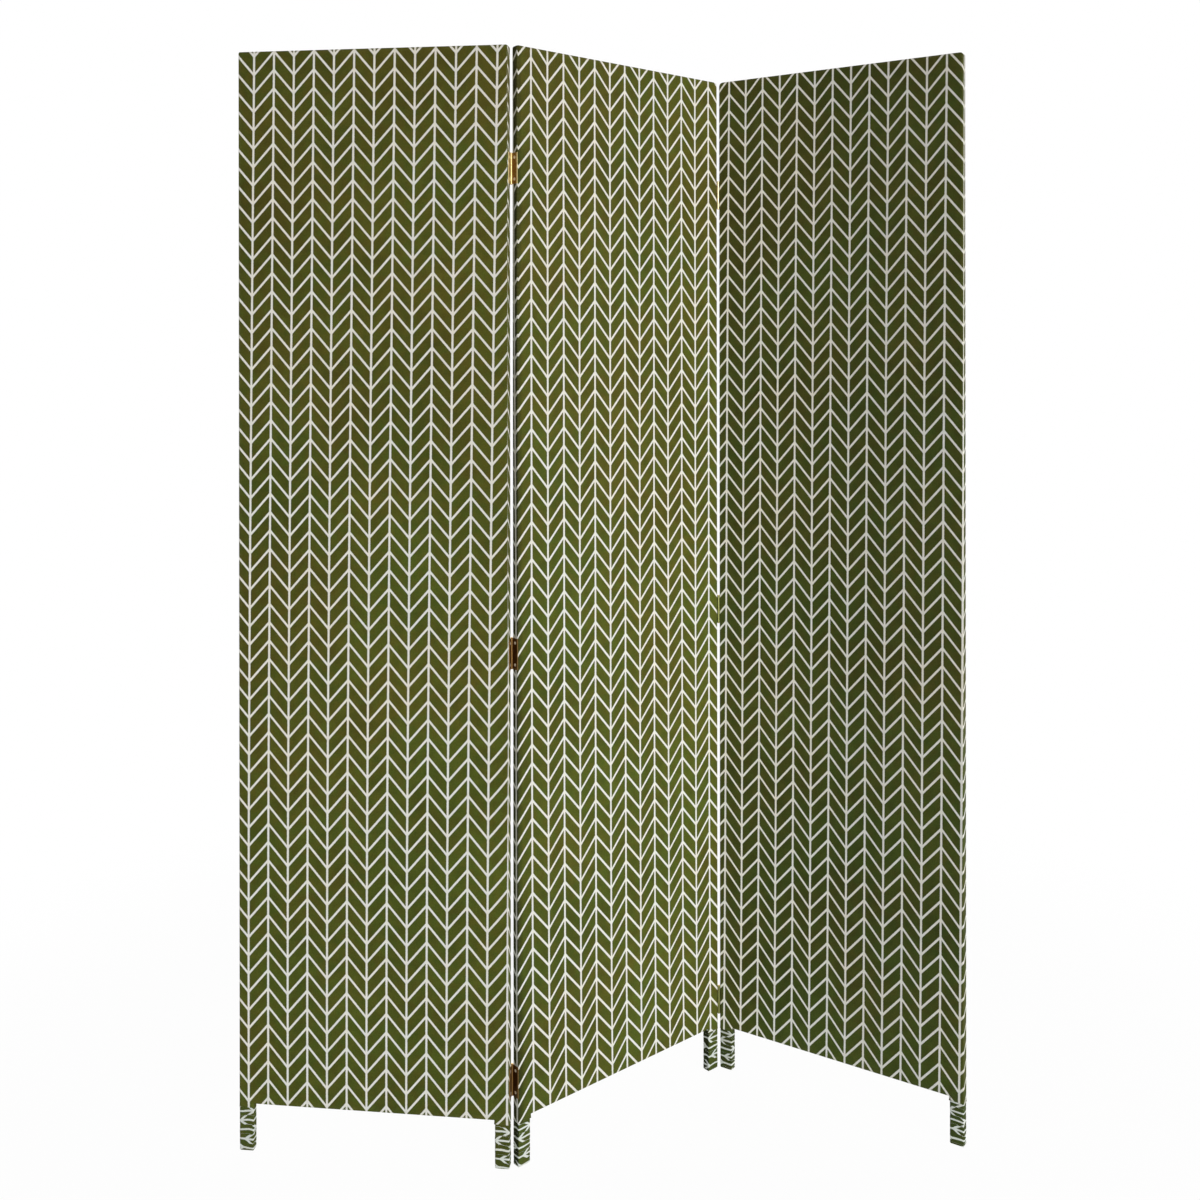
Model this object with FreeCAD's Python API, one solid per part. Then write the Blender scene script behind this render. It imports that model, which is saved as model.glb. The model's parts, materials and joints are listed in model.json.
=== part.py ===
import FreeCAD, Part

import os

# A folding screen of three panels. Each panel is a dowelled timber frame with cloth stretched
# over it, standing on the two lower ends of its stiles, which are wrapped in cloth as legs.
# Brass butt hinges join the panels, turned about so that the screen folds up like a Z.
# Lengths are millimetres, angles degrees. The front is -Y, right is +X and up is +Z.

Vector = FreeCAD.Vector
UP = Vector(0, 0, 1)

# Panel
screen_height = 1800.0        # floor to the top of the cloth
panel_width = 450.0           # over the cloth
leg_height = 77.5             # floor to the lower edge of the cover

# Timber
batten_depth = 12.8           # front to back, stiles and rails alike
stile_width = 22.8
rail_height = 44.0
middle_rail_centre = 940.0    # height above the floor
edge_round = 1.2              # along the edges, so that the cloth isn't cut
corner_round = 7.0            # at the two top corners of a panel
dowel_radius = 3.0
dowel_in_stile = 8.0
dowel_in_rail = 22.0
dowel_spacing = 22.0
dowel_fit = 0.05              # radial clearance in the hole
dowel_end_gap = 0.5           # left for glue at each end

# Cloth
cloth = 0.8                   # front cover and leg wraps
back_cloth = 0.7
cover_return = 28.0           # width turned over onto the back of the frame
back_inset = 7.0              # from the panel's outline to the edge of the back cover
back_corner = 6.0
cloth_ease = 0.2              # how much tighter than the timber the cloth's inside curve is

# Hinges
hinge_length = 50.0
left_top_drop = 197.0         # top of the panel to the middle of the hinge, at the left fold
right_top_drop = 206.0
left_middle_height = 823.0    # floor to the middle of the hinge
right_middle_height = 838.0
left_bottom_rise = 59.0       # lower edge of the cover to the middle of the hinge
right_bottom_rise = 47.0
leaf_reach = 15.6             # axis to the leaf's free edge
leaf_thickness = 1.0
leaf_gap = 0.4                # between the two leaves when the panels are in line
knuckle_count = 5
knuckle_gap = 0.25            # along the pin
knuckle_wall = 1.0
knuckle_swing = 0.3           # room round a knuckle for the other leaf's edge
pin_radius = 1.2
pin_fit = 0.05                # radial clearance in the knuckles
pin_head_radius = 1.75
pin_head_thickness = 0.7
pin_head_round = 0.45
pin_head_gap = 0.1
back_axis_proud = 0.4         # hinge axis out from the back cover
front_axis_proud = 1.0        # hinge axis out from the front cover

# Hinge screws, countersunk at 90 degrees
screw_length = 12.0
screw_radius = 1.4
screw_tip = 3.0
screw_head_radius = 2.5
screw_head_sink = 0.1
screw_end_margin = 7.5        # from the ends of the leaf
screw_fit = 0.1               # radial clearance in the leaf
pilot_fit = 0.05              # radial clearance in the timber
pilot_end_gap = 0.5
cloth_hole_fit = 0.4          # radial clearance in the cloth
slot_width = 0.7
slot_depth = 0.5

# How far the screen stands open: the turn of each outer panel from the middle panel's line
middle_heading = 40.2         # of the middle panel, from +X towards +Y
left_fold = 46.8
right_fold = 72.4

# Sizes that follow from those above
cover_depth = batten_depth + 2 * cloth
leg_width = stile_width + 2 * cloth
frame_low = leg_height + cloth
frame_top = screen_height - cloth
stile_x = {"left": cloth, "right": panel_width - cloth - stile_width}
rail_low = {
    "top": frame_top - rail_height,
    "middle": middle_rail_centre - rail_height / 2,
    "bottom": frame_low,
}
rail_start = cloth + stile_width
rail_end = panel_width - rail_start
hinge_heights = {
    "left": {
        "top": screen_height - left_top_drop,
        "middle": left_middle_height,
        "bottom": leg_height + left_bottom_rise,
    },
    "right": {
        "top": screen_height - right_top_drop,
        "middle": right_middle_height,
        "bottom": leg_height + right_bottom_rise,
    },
}
axis_offset = leaf_gap / 2 + leaf_thickness
back_axis_depth = cover_depth / 2 + back_cloth + back_axis_proud
front_axis_depth = cover_depth / 2 + front_axis_proud
bore_radius = pin_radius + pin_fit
knuckle_radius = bore_radius + knuckle_wall
knuckle_pitch = hinge_length / knuckle_count
screw_row = (knuckle_radius + leaf_reach) / 2
screw_heights = [hinge_length / 2 - screw_end_margin, screw_end_margin - hinge_length / 2]
beyond = 5.0                  # how far a cutting solid runs past what it cuts


def box(x0, x1, y0, y1, z0, z1):
    """A block between two opposite corners."""
    return Part.makeBox(x1 - x0, y1 - y0, z1 - z0, Vector(x0, y0, z0))


def rod_x(radius, x0, x1, y, z):
    """A round rod along the panel's width, from x0 to x1 whichever way that runs."""
    return Part.makeCylinder(radius, abs(x1 - x0), Vector(min(x0, x1), y, z), Vector(1, 0, 0))


def cut_all(solid, tools):
    """The solid less every one of the tools."""
    return solid.cut(tools) if tools else solid


def rounded_top(block, radius, corner_radius, corner_places):
    """A block with its top corners at some x rounded off, then the edges of its front and back."""
    extent = block.BoundBox
    middle = (extent.ZMin + extent.ZMax) / 2
    crosswise = extent.YLength / 2
    corners = [
        edge for edge in block.Edges
        if edge.BoundBox.ZMin > middle and edge.BoundBox.YLength > crosswise
        and min(abs(edge.CenterOfMass.x - x) for x in corner_places) < radius
    ]
    block = block.makeFillet(corner_radius, corners)
    edges = [
        edge for edge in block.Edges
        if edge.BoundBox.ZMax > middle and edge.BoundBox.YLength < crosswise
    ]
    return block.makeFillet(radius, edges)


def rounded_foot(block, radius):
    """A block with the edges round its lower end rounded."""
    low = block.BoundBox.ZMin
    edges = [edge for edge in block.Edges if edge.BoundBox.ZMax < low + radius]
    return block.makeFillet(radius, edges)


def panel_slab(inset, depth, low, high, radius, corner_radius):
    """A block as wide as the panel less an inset, rounded along its sides and top."""
    block = box(inset, panel_width - inset, -depth / 2, depth / 2, low, high)
    return rounded_top(block, radius, corner_radius, [inset, panel_width - inset])


def leg_block(centre, width, depth, low, high, radius):
    """A post about one leg, rounded along its four edges and round its lower end."""
    block = box(centre - width / 2, centre + width / 2, -depth / 2, depth / 2, low, high)
    middle = (low + high) / 2
    edges = [edge for edge in block.Edges if edge.BoundBox.ZMin < middle]
    return block.makeFillet(radius, edges)


def hinge_seat(edge, fold):
    """Where a fold's hinge axis stands beside a panel, the way back into the panel and across it."""
    inward = -1 if edge == "right" else 1
    x = panel_width + axis_offset if edge == "right" else -axis_offset
    y = back_axis_depth if fold == "left" else -front_axis_depth
    across = -1 if fold == "left" else 1
    return {"edge": edge, "fold": fold, "x": x, "y": y, "inward": inward, "across": across}


def screw_places(seat):
    """The depth and height of every hinge screw along one edge of a panel."""
    y = seat["y"] + seat["across"] * screw_row
    heights = hinge_heights[seat["fold"]].values()
    return [(y, centre + dz) for centre in heights for dz in screw_heights]


def edge_holes(seats, radius, start, length):
    """Round holes at the screws, from a depth under the leaf's outer face and of a given length."""
    holes = []
    for seat in seats:
        face = seat["x"] + seat["inward"] * leaf_gap / 2
        x0 = face + seat["inward"] * start
        x1 = x0 + seat["inward"] * length
        holes += [rod_x(radius, x0, x1, y, z) for y, z in screw_places(seat)]
    return holes


def dowel_places(rail):
    """The heights of the two dowels at each end of a rail."""
    centre = rail_low[rail] + rail_height / 2
    return [centre - dowel_spacing / 2, centre + dowel_spacing / 2]


def dowel_rods(side, rails, radius, end_gap):
    """Rods through the joint between one stile and its rails: the dowels, or their holes."""
    into_rail = 1 if side == "left" else -1
    seam = rail_start if side == "left" else rail_end
    x0 = seam - into_rail * (dowel_in_stile + end_gap)
    x1 = seam + into_rail * (dowel_in_rail + end_gap)
    return [rod_x(radius, x0, x1, 0, z) for rail in rails for z in dowel_places(rail)]


def stile(side, seats):
    """An upright batten whose lower end is the leg, drilled for dowels and hinge screws."""
    x0 = stile_x[side]
    x1 = x0 + stile_width
    blank = box(x0, x1, -batten_depth / 2, batten_depth / 2, cloth, frame_top)
    timber = rounded_top(blank, edge_round, corner_round, [x0 if side == "left" else x1])
    holes = dowel_rods(side, rail_low, dowel_radius + dowel_fit, dowel_end_gap)
    own_seats = [seat for seat in seats if seat["edge"] == side]
    holes += edge_holes(own_seats, screw_radius + pilot_fit, leaf_thickness, screw_length + pilot_end_gap)
    return cut_all(rounded_foot(timber, edge_round), holes)


def rail(name):
    """A crosspiece between the stiles, rounded along the edges that the cloth goes round."""
    low = rail_low[name]
    high = low + rail_height
    blank = box(rail_start, rail_end, -batten_depth / 2, batten_depth / 2, low, high)
    for bend in {"top": [high], "middle": [], "bottom": [low]}[name]:
        edges = [
            edge for edge in blank.Edges
            if edge.BoundBox.XLength > edge.BoundBox.YLength and abs(edge.CenterOfMass.z - bend) < edge_round
        ]
        blank = blank.makeFillet(edge_round, edges)
    holes = []
    for side in stile_x:
        holes += dowel_rods(side, [name], dowel_radius + dowel_fit, dowel_end_gap)
    return cut_all(blank, holes)


def dowels():
    """The loose pegs that join the rails to the stiles."""
    pegs = []
    for side in stile_x:
        pegs += dowel_rods(side, rail_low, dowel_radius, 0)
    return Part.makeCompound(pegs)


def front_cover(seats):
    """The stretched cloth: front, edges, top and underside, with its edges turned onto the back."""
    outer = panel_slab(0, cover_depth, leg_height, screen_height, edge_round + cloth, corner_round + cloth)
    hollow = panel_slab(cloth, batten_depth, frame_low, frame_top,
                        edge_round - cloth_ease, corner_round - cloth_ease)
    back_opening = box(cover_return, panel_width - cover_return, 0, cover_depth,
                       leg_height + cover_return, screen_height - cover_return)
    leg_holes = [
        leg_block(x0 + stile_width / 2, stile_width, batten_depth, cloth, frame_low + beyond,
                  edge_round - cloth_ease)
        for x0 in stile_x.values()
    ]
    screw_holes = edge_holes(seats, screw_radius + cloth_hole_fit, leaf_thickness - beyond, 2 * beyond)
    return cut_all(outer, [hollow, back_opening] + leg_holes + screw_holes)


def back_cover():
    """The flat cloth that hides the turned edges on the back."""
    y0 = cover_depth / 2
    sheet = box(back_inset, panel_width - back_inset, y0, y0 + back_cloth,
                leg_height + back_inset, screen_height - back_inset)
    corners = [edge for edge in sheet.Edges if edge.Length < back_cloth * 2]
    return sheet.makeFillet(back_corner, corners)


def leg_wrap(side):
    """The strip of cloth round one leg, closed under the foot."""
    centre = stile_x[side] + stile_width / 2
    outer = leg_block(centre, leg_width, cover_depth, 0, leg_height, edge_round + cloth)
    hollow = leg_block(centre, stile_width, batten_depth, cloth, leg_height + beyond,
                       edge_round - cloth_ease)
    return outer.cut(hollow)


def knuckle_span(index, spread):
    """The ends of one knuckle along the pin, drawn in or let out by a spread."""
    low = index * knuckle_pitch - hinge_length / 2
    start = low if index == 0 else low - spread
    end = low + knuckle_pitch if index == knuckle_count - 1 else low + knuckle_pitch + spread
    return start, end


def hinge_leaf(seat, own_knuckles, height):
    """One leaf of a butt hinge on a panel's edge, with its share of the knuckles."""
    inner = seat["inward"] * leaf_gap / 2
    outer = seat["inward"] * axis_offset
    free_edge = seat["across"] * leaf_reach
    half = hinge_length / 2
    leaf = box(min(inner, outer), max(inner, outer), min(0, free_edge), max(0, free_edge), -half, half)
    tools = []
    for index in range(knuckle_count):
        own = index in own_knuckles
        start, end = knuckle_span(index, -knuckle_gap / 2 if own else knuckle_gap / 2)
        radius = knuckle_radius if own else knuckle_radius + knuckle_swing
        barrel = Part.makeCylinder(radius, end - start, Vector(0, 0, start), UP)
        if own:
            leaf = leaf.fuse(barrel)
        else:
            tools.append(barrel)
    tools.append(Part.makeCylinder(bore_radius, hinge_length + 2 * beyond, Vector(0, 0, -half - beyond), UP))
    mouth = screw_head_radius + screw_head_sink + screw_fit
    for dz in screw_heights:
        place = Vector(inner, seat["across"] * screw_row, dz)
        tools.append(Part.makeCone(mouth, mouth - leaf_thickness, leaf_thickness, place,
                                   Vector(seat["inward"], 0, 0)))
    leaf = cut_all(leaf, tools).removeSplitter()
    leaf.translate(Vector(seat["x"], seat["y"], height))
    return leaf


def hinge_pin(seat, height):
    """The pin through a hinge's knuckles, with a rounded rivet head at each end."""
    shank_end = hinge_length / 2 + pin_head_gap
    pin = Part.makeCylinder(pin_radius, 2 * shank_end, Vector(0, 0, -shank_end), UP)
    for way in (1, -1):
        base = Vector(0, 0, way * shank_end)
        head = Part.makeCylinder(pin_head_radius, pin_head_thickness, base, UP * way)
        rim = max(head.Edges, key=lambda edge: way * edge.CenterOfMass.z)
        pin = pin.fuse(head.makeFillet(pin_head_round, [rim]))
    pin = pin.removeSplitter()
    pin.translate(Vector(seat["x"], seat["y"], height))
    return pin


def hinge_screw(seat, y, z):
    """A slotted countersunk screw through a leaf and the cloth into the stile."""
    way = Vector(seat["inward"], 0, 0)
    top = Vector(seat["x"] + seat["inward"] * (leaf_gap / 2 + screw_head_sink), y, z)
    cone_height = screw_head_radius - screw_radius
    shank_length = screw_length - screw_tip - cone_height
    head = Part.makeCone(screw_head_radius, screw_radius, cone_height, top, way)
    shank = Part.makeCylinder(screw_radius, shank_length, top + way * cone_height, way)
    tip = Part.makeCone(screw_radius, 0, screw_tip, top + way * (cone_height + shank_length), way)
    slot = box(top.x - slot_depth, top.x + slot_depth, y - screw_head_radius, y + screw_head_radius,
               z - slot_width / 2, z + slot_width / 2)
    return head.fuse([shank, tip]).removeSplitter().cut(slot)


def hinge_screws(seat):
    """All the screws along one edge of a panel."""
    return Part.makeCompound([hinge_screw(seat, y, z) for y, z in screw_places(seat)])


def panel_pieces(name, seats):
    """Every piece of one panel but its hinges, in the panel's own frame."""
    pieces = {}
    for side in stile_x:
        pieces[name + "_stile_" + side] = stile(side, seats)
        pieces[name + "_leg_wrap_" + side] = leg_wrap(side)
    for place in rail_low:
        pieces[name + "_" + place + "_rail"] = rail(place)
    pieces[name + "_dowels"] = dowels()
    pieces[name + "_front_cover"] = front_cover(seats)
    pieces[name + "_back_cover"] = back_cover()
    for seat in seats:
        pieces[name + "_hinge_screws_" + seat["edge"]] = hinge_screws(seat)
    return pieces


def moved(shape, turn, pivot, place):
    """A copy of a shape turned about an upright line at a pivot, which then goes to a place."""
    copy = shape.copy()
    copy.rotate(pivot, UP, turn)
    copy.translate(place - pivot)
    return copy


def pivot_of(seat):
    """The foot of a hinge axis."""
    return Vector(seat["x"], seat["y"], 0)


seats = {
    "left_panel": [hinge_seat("right", "left")],
    "middle_panel": [hinge_seat("left", "left"), hinge_seat("right", "right")],
    "right_panel": [hinge_seat("left", "right")],
}
left_fold_seat, right_fold_seat = seats["middle_panel"]
outer_knuckles = range(0, knuckle_count, 2)
inner_knuckles = range(1, knuckle_count, 2)

local = {name: panel_pieces(name, panel_seats) for name, panel_seats in seats.items()}
for seat, panel in ((left_fold_seat, "left_panel"), (right_fold_seat, "right_panel")):
    for place, height in hinge_heights[seat["fold"]].items():
        hinge = seat["fold"] + "_hinge_" + place
        local["middle_panel"][hinge + "_middle_leaf"] = hinge_leaf(seat, outer_knuckles, height)
        local["middle_panel"][hinge + "_pin"] = hinge_pin(seat, height)
        local[panel][hinge + "_outer_leaf"] = hinge_leaf(seats[panel][0], inner_knuckles, height)

# The middle panel is turned to its heading, and each outer panel is hung on its hinge axis.
corner = Vector(0, 0, 0)
heading = FreeCAD.Rotation(UP, middle_heading)
left_axis = heading.multVec(pivot_of(left_fold_seat))
right_axis = heading.multVec(pivot_of(right_fold_seat))
stance = {
    "left_panel": (middle_heading - left_fold, pivot_of(seats["left_panel"][0]), left_axis),
    "middle_panel": (middle_heading, corner, corner),
    "right_panel": (middle_heading - right_fold, pivot_of(seats["right_panel"][0]), right_axis),
}
standing = {
    node: moved(shape, *stance[panel])
    for panel, pieces in local.items()
    for node, shape in pieces.items()
}

# The origin is on the floor, in the middle of the space that the open screen takes up.
whole = Part.makeCompound(list(standing.values())).optimalBoundingBox(False, False)
to_origin = Vector(-(whole.XMin + whole.XMax) / 2, -(whole.YMin + whole.YMax) / 2, 0)

os.makedirs("parts", exist_ok=True)
for node, shape in standing.items():
    shape.translate(to_origin)
    shape.exportStep("parts/" + node + ".step")

print("screen", round(whole.XLength, 3), round(whole.YLength, 3), round(whole.ZLength, 3))
for name, axis in (("left fold axis", left_axis + to_origin), ("right fold axis", right_axis + to_origin)):
    print(name, round(axis.x, 4), round(axis.y, 4))
for panel in seats:
    for side in stile_x:
        foot = Vector(stile_x[side] + stile_width / 2, 0, 0)
        point = Part.Vertex(foot)
        foot_place = moved(point, *stance[panel]).Point + to_origin
        print(panel, side, "foot", round(foot_place.x, 4), round(foot_place.y, 4))
print(len(standing), "nodes")
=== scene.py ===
# %% [markdown]
# A folding screen in printed canvas
#
# The object is a free-standing screen: three slim timber frames, each dressed in olive canvas with a pale
# chevron print, on short legs that are wrapped in the same cloth. Small brass hinges join the frames edge to
# edge, so that the screen stands in a zigzag. The CAD model gives the timber, the hinges and the places of
# everything. This lesson dresses it: cloth that is folded over the edges, wrapped legs, a sewn back, aged
# brass, and light as in a plain studio.

# %% Load the CAD frame
import json
import math
import bmesh
import bpy
from mathutils import Matrix, Vector, noise

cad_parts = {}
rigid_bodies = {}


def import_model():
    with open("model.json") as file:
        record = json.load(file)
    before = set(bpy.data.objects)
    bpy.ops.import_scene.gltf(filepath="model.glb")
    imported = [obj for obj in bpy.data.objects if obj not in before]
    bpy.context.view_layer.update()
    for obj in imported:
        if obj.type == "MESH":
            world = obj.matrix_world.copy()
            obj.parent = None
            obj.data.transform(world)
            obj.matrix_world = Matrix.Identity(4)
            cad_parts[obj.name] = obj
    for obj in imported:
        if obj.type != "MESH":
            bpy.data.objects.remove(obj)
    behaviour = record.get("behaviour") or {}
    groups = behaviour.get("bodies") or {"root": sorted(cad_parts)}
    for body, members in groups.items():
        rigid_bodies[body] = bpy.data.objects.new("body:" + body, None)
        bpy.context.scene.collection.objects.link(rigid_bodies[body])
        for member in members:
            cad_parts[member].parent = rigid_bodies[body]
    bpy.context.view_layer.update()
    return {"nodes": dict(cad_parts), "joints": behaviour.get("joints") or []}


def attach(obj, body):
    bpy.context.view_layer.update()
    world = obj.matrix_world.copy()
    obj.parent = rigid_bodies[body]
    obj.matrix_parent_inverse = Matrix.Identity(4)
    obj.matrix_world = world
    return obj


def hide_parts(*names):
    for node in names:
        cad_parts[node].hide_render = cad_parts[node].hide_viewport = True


for leftover in list(bpy.data.objects):
    bpy.data.objects.remove(leftover)
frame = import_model()
nodes = frame["nodes"]
scene = bpy.context.scene


def shown(values, digits=4):
    """Numbers cut short for printing."""
    return [round(value, digits) for value in values]


def add_object(name, data):
    """A new object in the scene, at the origin."""
    thing = bpy.data.objects.new(name, data)
    scene.collection.objects.link(thing)
    return thing


# %% [markdown]
# The camera
#
# The photograph looks level from the height of a grown person's chest or so, and the horizon lies above the
# middle of the picture. A tilted camera would make the upright edges draw together, and they don't. So the
# camera looks straight ahead and its lens is shifted down instead, as with a view camera. All upright edges
# lean over by the same hair's breadth, which is the camera's own roll.

# %% Camera
camera_data = bpy.data.cameras.new("camera")
camera_data.sensor_width = 36.0
camera_data.lens = 38.448
camera_data.shift_x = -0.0106
camera_data.shift_y = -0.2054
camera = add_object("camera", camera_data)
camera.location = (0.0155, -2.2022, 1.3052)
camera.rotation_euler = (math.radians(90), math.radians(0.065), 0)
scene.camera = camera
print("camera at", shown(camera.location, 3))

# %% [markdown]
# Small helpers for materials
#
# Every finish here is a network of nodes. Writing each node in full would hide the idea of a material under
# bookkeeping, so a few helpers make a Math node, a colour mix or a noise in one line. Colours are written as
# they look on a screen, from 0 to 255, and are turned into the linear values that the shader works with.


# %% Nodes and their inputs
def feed(tree, node, inputs):
    """Sets a node's inputs, by name or number, to plain values or joins other nodes' outputs to them."""
    for key, value in inputs.items():
        if isinstance(value, bpy.types.NodeSocket):
            tree.links.new(value, node.inputs[key])
        else:
            node.inputs[key].default_value = value


def add_node(tree, kind, inputs=None, **settings):
    """A new node with its settings and inputs."""
    node = tree.nodes.new(kind)
    for key, value in settings.items():
        setattr(node, key, value)
    feed(tree, node, inputs or {})
    return node


def new_finish(name):
    """An empty material with its node tree and shader."""
    finish = bpy.data.materials.new(name)
    finish.use_nodes = True
    tree = finish.node_tree
    return finish, tree, tree.nodes["Principled BSDF"]


print("node helpers ready")


# %% Numbers, colours and noise
def paint(red, green, blue):
    """A screen colour, 0 to 255, as the linear colour that shaders use."""
    values = []
    for part in (red, green, blue):
        share = part / 255
        values.append(share / 12.92 if share <= 0.04045 else ((share + 0.055) / 1.055) ** 2.4)
    return (*values, 1.0)


def maths(tree, operation, *values):
    """A Math node on numbers or other nodes' outputs."""
    return add_node(tree, "ShaderNodeMath", dict(enumerate(values)), operation=operation).outputs[0]


def tint(tree, share, first, second, how="MIX"):
    """A mix of two colours; a Mix node keeps its colours in sockets 6 and 7."""
    sockets = {0: share, 6: first, 7: second}
    return add_node(tree, "ShaderNodeMix", sockets, data_type="RGBA", blend_type=how).outputs[2]


def times(tree, colour, factor, share=1.0):
    """A colour multiplied by a number or by another colour, wholly or in part."""
    return tint(tree, share, colour, factor, "MULTIPLY")


def spread(tree, value, low, high, to_low, to_high, smooth=False):
    """A Map Range node: value from low to high becomes to_low to to_high, held at its ends."""
    sockets = dict(enumerate((value, low, high, to_low, to_high)))
    blend = "SMOOTHSTEP" if smooth else "LINEAR"
    return add_node(tree, "ShaderNodeMapRange", sockets, interpolation_type=blend).outputs[0]


def stretched(tree, coordinates, scale, turn=(0, 0, 0)):
    """Coordinates turned and drawn out by a Mapping node."""
    sockets = {"Vector": coordinates, "Scale": scale, "Rotation": turn}
    return add_node(tree, "ShaderNodeMapping", sockets).outputs[0]


def mottle(tree, coordinates, scale, detail=2.0, rough=0.5):
    """Soft noise from 0 to 1."""
    sockets = {"Vector": coordinates, "Scale": scale, "Detail": detail, "Roughness": rough}
    return add_node(tree, "ShaderNodeTexNoise", sockets).outputs[0]


def facing(tree, coordinates, heading):
    """How squarely a face looks along a heading in the plan: 1 along it, -1 the other way."""
    turn = math.radians(heading)
    sockets = {0: coordinates.outputs["Normal"], 1: (math.cos(turn), math.sin(turn), 0)}
    return add_node(tree, "ShaderNodeVectorMath", sockets, operation="DOT_PRODUCT").outputs["Value"]


def relief(tree, shader, height, distance, strength):
    """Bump: height from 0 to 1 stands for distance in metres."""
    bump = add_node(tree, "ShaderNodeBump", {"Strength": strength, "Distance": distance, "Height": height})
    feed(tree, shader, {"Normal": bump.outputs[0]})


print("mid olive as a shader sees it:", shown(paint(75, 78, 28)))

# %% [markdown]
# Floor, backdrop and light
#
# The photograph has a pure white ground. The floor and the world show white to the camera and to mirrors,
# but light the object only at a plain level, so that the colours of the cloth come out as they are written.
# The middle panel is the brightest and the right one the darkest, so one wide soft lamp stands in front and
# to the right, a weak one helps on the left, and the rest of the light comes from all round. A lamp behind
# the screen shows its back to anyone who walks round it.

# %% World and floor
AMBIENT = 0.325
FLOOR_GLOW = 0.97
SHADOW_REACH = 0.9
FLOOR_HALF = 9


def seen_directly(tree):
    """1 for rays from the camera, a mirror or glass, and 0 for light that bounces."""
    path = add_node(tree, "ShaderNodeLightPath").outputs
    either = maths(tree, "MAXIMUM", path["Is Camera Ray"], path["Is Glossy Ray"])
    return maths(tree, "MAXIMUM", either, path["Is Transmission Ray"])


world = bpy.data.worlds.new("studio")
world.use_nodes = True
scene.world = world
sky_tree = world.node_tree
sky_strength = spread(sky_tree, seen_directly(sky_tree), 0, 1, AMBIENT, 1.0)
feed(sky_tree, sky_tree.nodes["Background"], {"Color": (1, 1, 1, 1), "Strength": sky_strength})

floor_finish, floor_tree, floor_shader = new_finish("pale_floor")
floor_looks = {"Base Color": (0.9, 0.9, 0.89, 1), "Roughness": 0.9, "Specular IOR Level": 0.0}
feed(floor_tree, floor_shader, floor_looks)
floor_glow = add_node(floor_tree, "ShaderNodeEmission", {"Strength": 1.0})
floor_place = add_node(floor_tree, "ShaderNodeTexCoord").outputs["Object"]
floor_far = add_node(floor_tree, "ShaderNodeVectorMath", {0: floor_place}, operation="LENGTH")
far_out = spread(floor_tree, floor_far.outputs["Value"], SHADOW_REACH, 2 * SHADOW_REACH, FLOOR_GLOW, 1, True)
floor_share = maths(floor_tree, "MULTIPLY", seen_directly(floor_tree), far_out)
floor_parts = {0: floor_share, 1: floor_shader.outputs[0], 2: floor_glow.outputs[0]}
floor_mix = add_node(floor_tree, "ShaderNodeMixShader", floor_parts)
feed(floor_tree, floor_tree.nodes["Material Output"], {"Surface": floor_mix.outputs[0]})
floor_mesh = bpy.data.meshes.new("floor")
floor_signs = ((-1, -1), (1, -1), (1, 1), (-1, 1))
floor_mesh.from_pydata([(x * FLOOR_HALF, y * FLOOR_HALF, 0) for x, y in floor_signs], [], [(0, 1, 2, 3)])
floor_mesh.materials.append(floor_finish)
floor = add_object("floor", floor_mesh)
scene.view_settings.view_transform = "Standard"
print("floor and world ready")


# %% Lamps
def soft_lamp(name, place, aim, size, power):
    """A square studio lamp that points at aim."""
    data = bpy.data.lights.new(name, "AREA")
    data.shape = "SQUARE"
    data.size = size
    data.energy = power
    lamp = add_object(name, data)
    lamp.location = place
    lamp.rotation_euler = (Vector(aim) - Vector(place)).to_track_quat("-Z", "Y").to_euler()


soft_lamp("key_lamp", place=(2.9, -3.5, 1.2), aim=(0, 0, 0.95), size=2.2, power=143)
soft_lamp("fill_lamp", place=(-1.2, -3.4, 1.3), aim=(-0.2, 0, 0.9), size=1.8, power=4)
soft_lamp("back_lamp", place=(-0.5, 3.9, 1.4), aim=(0, 0, 0.9), size=2.2, power=62)

# %% [markdown]
# Where each panel stands
#
# A panel is easiest to dress lying in its own frame: x runs across it from left to right, y goes to the back
# and z goes up. The folds of the CAD model give the place of each panel, because a panel turns about its
# hinge pins. One matrix per panel then carries everything that was made flat to where the panel stands.

# %% Panel places
PANEL_WIDE = 0.450
COVER_TOP = 1.800
HINGE_GAP = 0.0012
BACK_PIN = 0.0083
FRONT_PIN = -0.0082
HEADING = {"left": -6.6, "middle": 40.2, "right": -32.2}
fold_place = {joint["name"]: Vector(joint["pos_m"]) for joint in frame["joints"]}
pin_place = {
    "left": (Vector((PANEL_WIDE + HINGE_GAP, BACK_PIN, 0)), fold_place["left_fold"]),
    "middle": (Vector((-HINGE_GAP, BACK_PIN, 0)), fold_place["left_fold"]),
    "right": (Vector((-HINGE_GAP, FRONT_PIN, 0)), fold_place["right_fold"]),
}


def standing(panel):
    """The matrix that stands a flat panel in its place."""
    turn = Matrix.Rotation(math.radians(HEADING[panel]), 4, "Z")
    on_panel, in_room = pin_place[panel]
    return Matrix.Translation(in_room - turn @ on_panel) @ turn


for panel in HEADING:
    far_corner = standing(panel) @ Vector((PANEL_WIDE, 0, COVER_TOP))
    print(panel, "panel, top right corner at", shown(far_corner))

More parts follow.
